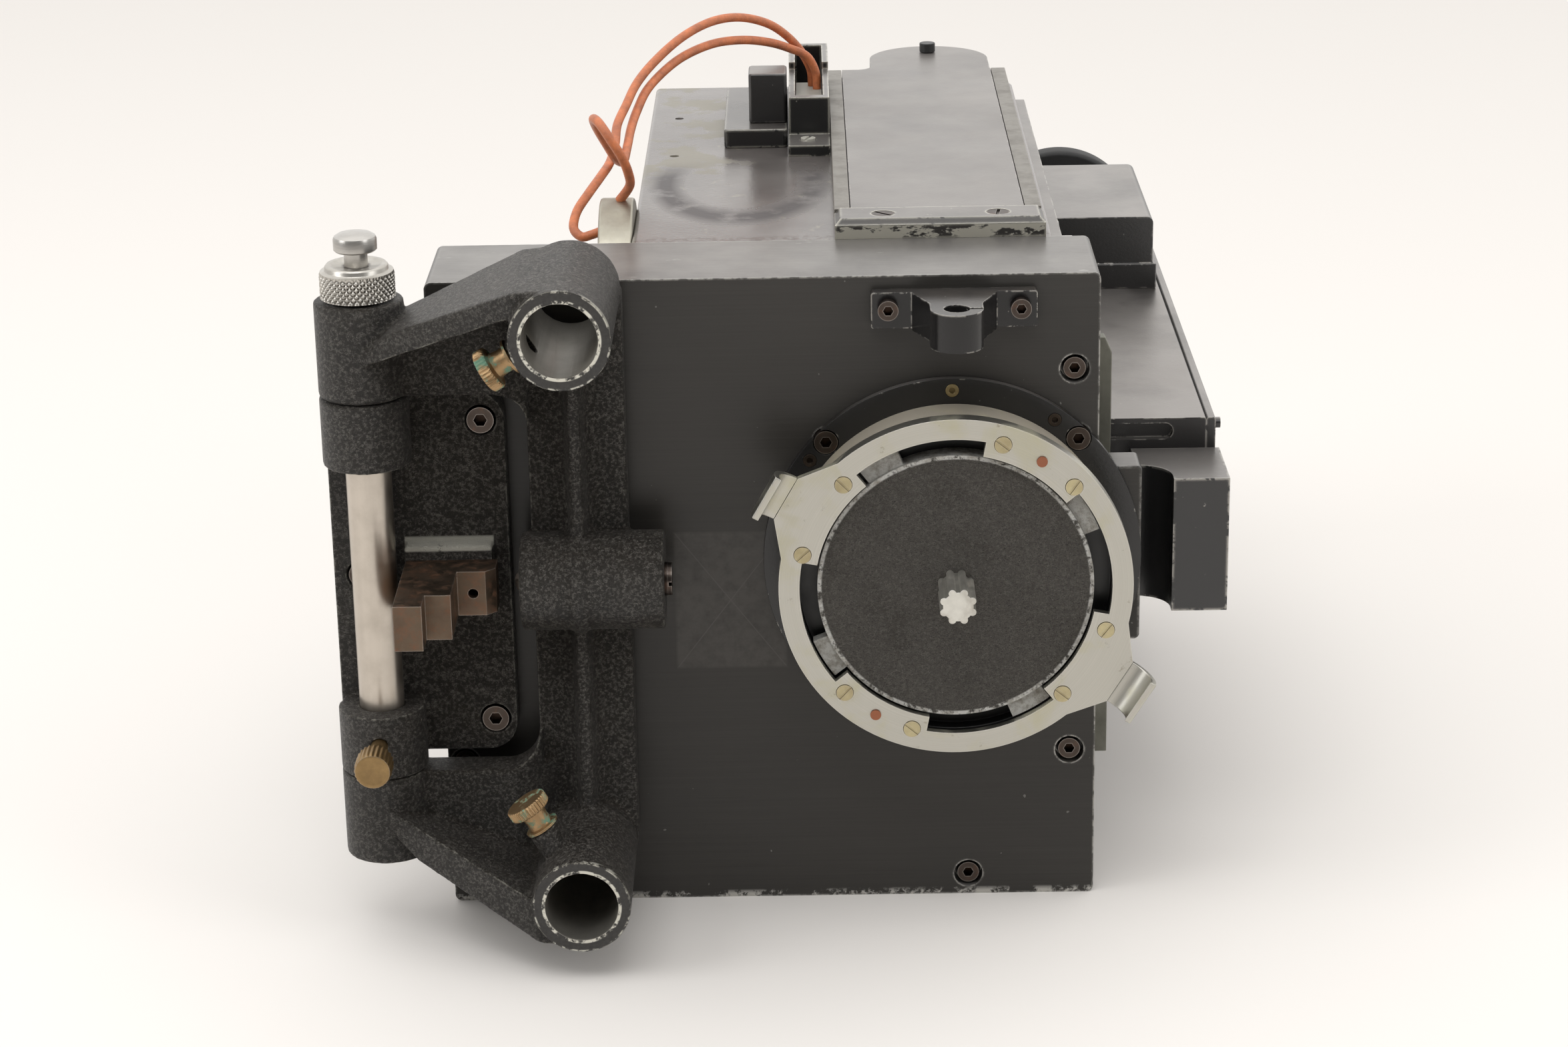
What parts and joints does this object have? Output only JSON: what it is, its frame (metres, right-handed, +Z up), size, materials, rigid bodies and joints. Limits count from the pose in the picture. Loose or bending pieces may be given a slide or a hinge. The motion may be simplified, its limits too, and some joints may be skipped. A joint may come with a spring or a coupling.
{
  "type": "motion-picture film camera",
  "caption": "Studio 35 mm film camera body with lens lock ring and cap, swing-away matte-box rod bracket, sliding magazine-port cover, side door with finder, motor and film drive.",
  "frame": {"origin": "mouth of the tripod socket in the flat base, on the body centre line", "axes": "+Z up, -Y the way the lens faces, +X to the right as seen from the front"},
  "size_m": [0.3219, 0.419, 0.2877],
  "materials": {
    "satin_black_plate": "satin black anodise with fine brushing",
    "black_machined": "satin black enamel",
    "barrel_nickel": "satin, warm tint",
    "ring_nickel": "satin nickel, stained",
    "ring_brass": "nickelled brass, worn",
    "black_crackle": "wrinkle enamel",
    "cast_aluminium": "bare, satin",
    "blackened_steel": "blackened with light rust",
    "bright_steel": "satin",
    "aged_brass": "tarnished",
    "body_enamel": "glossy black enamel, worn",
    "rail_aluminium": "bare, scuffed",
    "cover_grey": "satin grey-black",
    "black_plastic": "matte",
    "terminal_grey": "matte",
    "motor_nickel": "satin",
    "copper_winding": "varnished",
    "black_rubber": "matte",
    "orange_insulation": "satin, aged"
  },
  "bodies": {
    "camera": {"front_plate": "satin_black_plate", "side_ear": "satin_black_plate", "lens_flange": "black_machined", "flange_pins": "ring_brass", "mount_barrel": "barrel_nickel", "cap_screws": "blackened_steel", "hook_bracket": "black_crackle", "hinge_base": "black_crackle", "hinge_rod": "bright_steel", "latch_block": "blackened_steel", "body_shell": "body_enamel", "body_top": "body_enamel", "side_flange": "cast_aluminium", "stop_bar": "body_enamel", "stop_bar_screws": "blackened_steel", "port_rails": "rail_aluminium", "connector_plate": "black_machined", "connector_socket": "black_machined", "terminal_box": "black_machined", "terminal_strip": "terminal_grey", "motor_housing": "motor_nickel", "mechanism_plate": "cast_aluminium", "aperture_plate": "cast_aluminium", "movement_block": "bright_steel", "door_pin": "bright_steel", "motor_wire_left": "orange_insulation", "motor_wire_right": "orange_insulation"},
    "ring": {"lock_ring": "ring_nickel", "ring_screws": "ring_brass", "finger_tabs": "ring_nickel"},
    "cap": {"body_cap": "black_crackle", "spline_knob": "cast_aluminium"},
    "arm": {"arm_column": "black_crackle", "upper_rod_arm": "black_crackle", "lower_rod_arm": "black_crackle", "plunger_screw": "blackened_steel", "plunger_spring": "bright_steel"},
    "plunger": {"plunger_ball": "bright_steel"},
    "upper_clamp": {"upper_thumbscrew": "aged_brass"},
    "lower_clamp": {"lower_thumbscrew": "aged_brass"},
    "hinge_clamp": {"knuckle_screw": "aged_brass"},
    "nut": {"hinge_nut": "bright_steel"},
    "button": {"pull_button": "bright_steel"},
    "cover": {"port_cover": "cover_grey", "cover_knob": "black_plastic"},
    "rotor": {"motor_rotor": "copper_winding"},
    "idler": {"idler_gear": "aged_brass"},
    "sprocket": {"sprocket_shaft": "bright_steel", "film_sprocket": "bright_steel"},
    "shutter": {"shutter_disc": "black_machined"},
    "roller_up": {"upper_roller": "black_plastic"},
    "roller_down": {"lower_roller": "black_plastic"},
    "door": {"film_door": "black_machined", "finder_housing": "black_machined", "finder_side_cover": "black_machined", "finder_front": "black_machined", "finder_back_box": "black_machined", "eyepiece_tube": "black_machined"},
    "latch": {"door_latch": "bright_steel"},
    "cup": {"eyecup": "black_rubber"}
  },
  "joints": [
    {"name": "arm_swing", "type": "hinge", "parent": "camera", "child": "arm", "pos_m": [-0.16705, -0.1935, 0.133], "axis": [0, 0, -1], "range_deg": [0, 110]},
    {"name": "plunger_press", "type": "slide", "parent": "arm", "child": "plunger", "axis": [1, 0, 0], "range_m": [0, 0.0012], "stiffness_N_per_m": 300, "springref_m": -0.002},
    {"name": "upper_clamp_turn", "type": "hinge", "parent": "arm", "child": "upper_clamp", "pos_m": [-0.09495, -0.225, 0.236], "axis": [-0.8572, 0, -0.515], "continuous": true},
    {"name": "lower_clamp_turn", "type": "hinge", "parent": "arm", "child": "lower_clamp", "pos_m": [-0.09495, -0.225, 0.03], "axis": [-0.5299, 0, 0.848], "continuous": true},
    {"name": "hinge_clamp_turn", "type": "hinge", "parent": "camera", "child": "hinge_clamp", "pos_m": [-0.16705, -0.225, 0.0765], "axis": [0, -1, 0], "continuous": true},
    {"name": "nut_turn", "type": "hinge", "parent": "camera", "child": "nut", "pos_m": [-0.16705, -0.1935, 0.24], "axis": [0, 0, 1], "continuous": true},
    {"name": "button_pull", "type": "slide", "parent": "camera", "child": "button", "axis": [0, 0, 1], "range_m": [0, 0.004], "stiffness_N_per_m": 300, "springref_m": -0.002},
    {"name": "ring_turn", "type": "hinge", "parent": "camera", "child": "ring", "pos_m": [0.03745, -0.205, 0.133], "axis": [0, -1, 0], "range_deg": [0, 30]},
    {"name": "cap_pull", "type": "slide", "parent": "camera", "child": "cap", "axis": [0, -1, 0], "range_m": [0, 0.05]},
    {"name": "cover_slide", "type": "slide", "parent": "camera", "child": "cover", "axis": [0, 1, 0], "range_m": [0, 0.15]},
    {"name": "door_open", "type": "hinge", "parent": "camera", "child": "door", "pos_m": [0.08095, 0, 0.006], "axis": [0, 1, 0], "range_deg": [0, 55]},
    {"name": "latch_turn", "type": "hinge", "parent": "door", "child": "latch", "pos_m": [0.08145, -0.025, 0.205], "axis": [1, 0, 0], "range_deg": [0, 90]},
    {"name": "eyecup_turn", "type": "hinge", "parent": "door", "child": "cup", "pos_m": [0.09945, 0.168, 0.164], "axis": [0, -1, 0], "range_deg": [-60, 60]},
    {"name": "motor_spin", "type": "hinge", "parent": "camera", "child": "rotor", "pos_m": [-0.06055, -0.093, 0.2148], "axis": [1, 0, 0], "continuous": true},
    {"name": "idler_spin", "type": "hinge", "parent": "camera", "child": "idler", "pos_m": [-0.03455, -0.06136, 0.17674], "axis": [1, 0, 0], "continuous": true},
    {"name": "sprocket_spin", "type": "hinge", "parent": "camera", "child": "sprocket", "pos_m": [0.00945, -0.02492, 0.1329], "axis": [1, 0, 0], "continuous": true},
    {"name": "shutter_spin", "type": "hinge", "parent": "camera", "child": "shutter", "pos_m": [-0.00855, -0.075, 0.133], "axis": [0, 1, 0], "continuous": true},
    {"name": "upper_roller_spin", "type": "hinge", "parent": "camera", "child": "roller_up", "pos_m": [0.03745, 0.021, 0.178], "axis": [1, 0, 0], "continuous": true},
    {"name": "lower_roller_spin", "type": "hinge", "parent": "camera", "child": "roller_down", "pos_m": [0.03745, 0.021, 0.092], "axis": [1, 0, 0], "continuous": true}
  ],
  "couplings": [
    {"joint": "idler_spin", "follows": "motor_spin", "ratio": -0.22222},
    {"joint": "sprocket_spin", "follows": "motor_spin", "ratio": 0.54545},
    {"joint": "shutter_spin", "follows": "motor_spin", "ratio": 0.54545}
  ]
}
